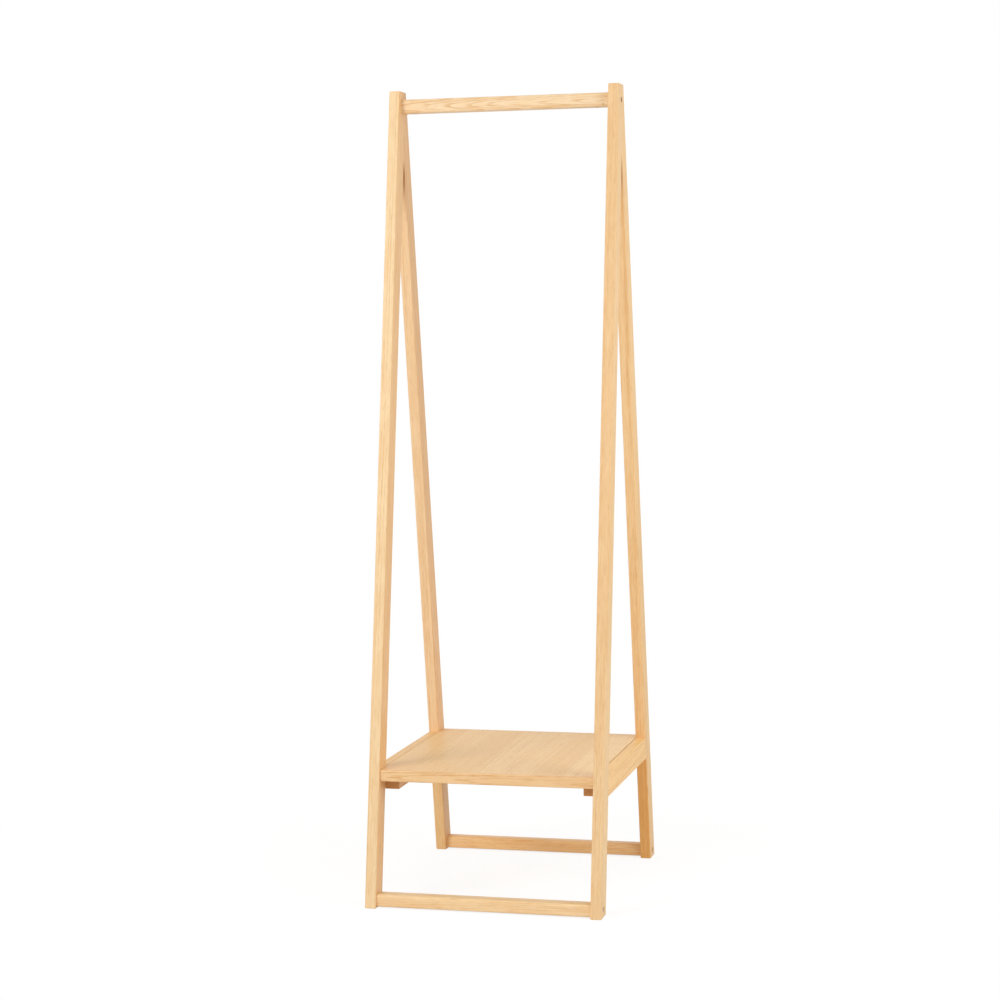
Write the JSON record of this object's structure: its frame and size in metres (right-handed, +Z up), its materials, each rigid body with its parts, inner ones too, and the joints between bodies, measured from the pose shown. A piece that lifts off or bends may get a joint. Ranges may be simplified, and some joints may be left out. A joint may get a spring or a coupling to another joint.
{
  "type": "coat rack",
  "caption": "Slim free-standing coat rack of pale wood: leaning legs joined into A-frames, a hanging bar between their tops, a low shelf and stretchers at the feet.",
  "frame": {"origin": "on the floor, under the middle of the rack", "axes": "+Z up, +X towards the rack's right as seen from the front, -Y out of the front"},
  "size_m": [0.47, 0.5596, 1.6],
  "materials": {
    "frame_wood": "satin clear lacquer",
    "shelf_veneer": "satin clear lacquer",
    "lipping_wood": "satin clear lacquer",
    "core_board": "raw board",
    "dowel_wood": "raw beech",
    "bolt_steel": "zinc plated",
    "nut_steel": "zinc plated",
    "screw_steel": "yellow passivated"
  },
  "bodies": {
    "root": {"front_left_leg": "frame_wood", "front_right_leg": "frame_wood", "rear_left_leg": "frame_wood", "rear_right_leg": "frame_wood", "left_shelf_rail": "frame_wood", "right_shelf_rail": "frame_wood", "hanging_bar": "frame_wood", "front_stretcher": "frame_wood", "rear_stretcher": "frame_wood", "left_shelf_cleat": "frame_wood", "right_shelf_cleat": "frame_wood", "shelf_top_veneer": "shelf_veneer", "shelf_bottom_veneer": "shelf_veneer", "shelf_core": "core_board", "shelf_front_lipping": "lipping_wood", "shelf_rear_lipping": "lipping_wood", "apex_dowels": "dowel_wood", "rail_dowels": "dowel_wood", "locating_dowels": "dowel_wood", "connector_bolts": "bolt_steel", "connector_washers": "bolt_steel", "barrel_nuts": "nut_steel", "cleat_screws": "screw_steel", "shelf_screws": "screw_steel"}
  },
  "joints": []
}
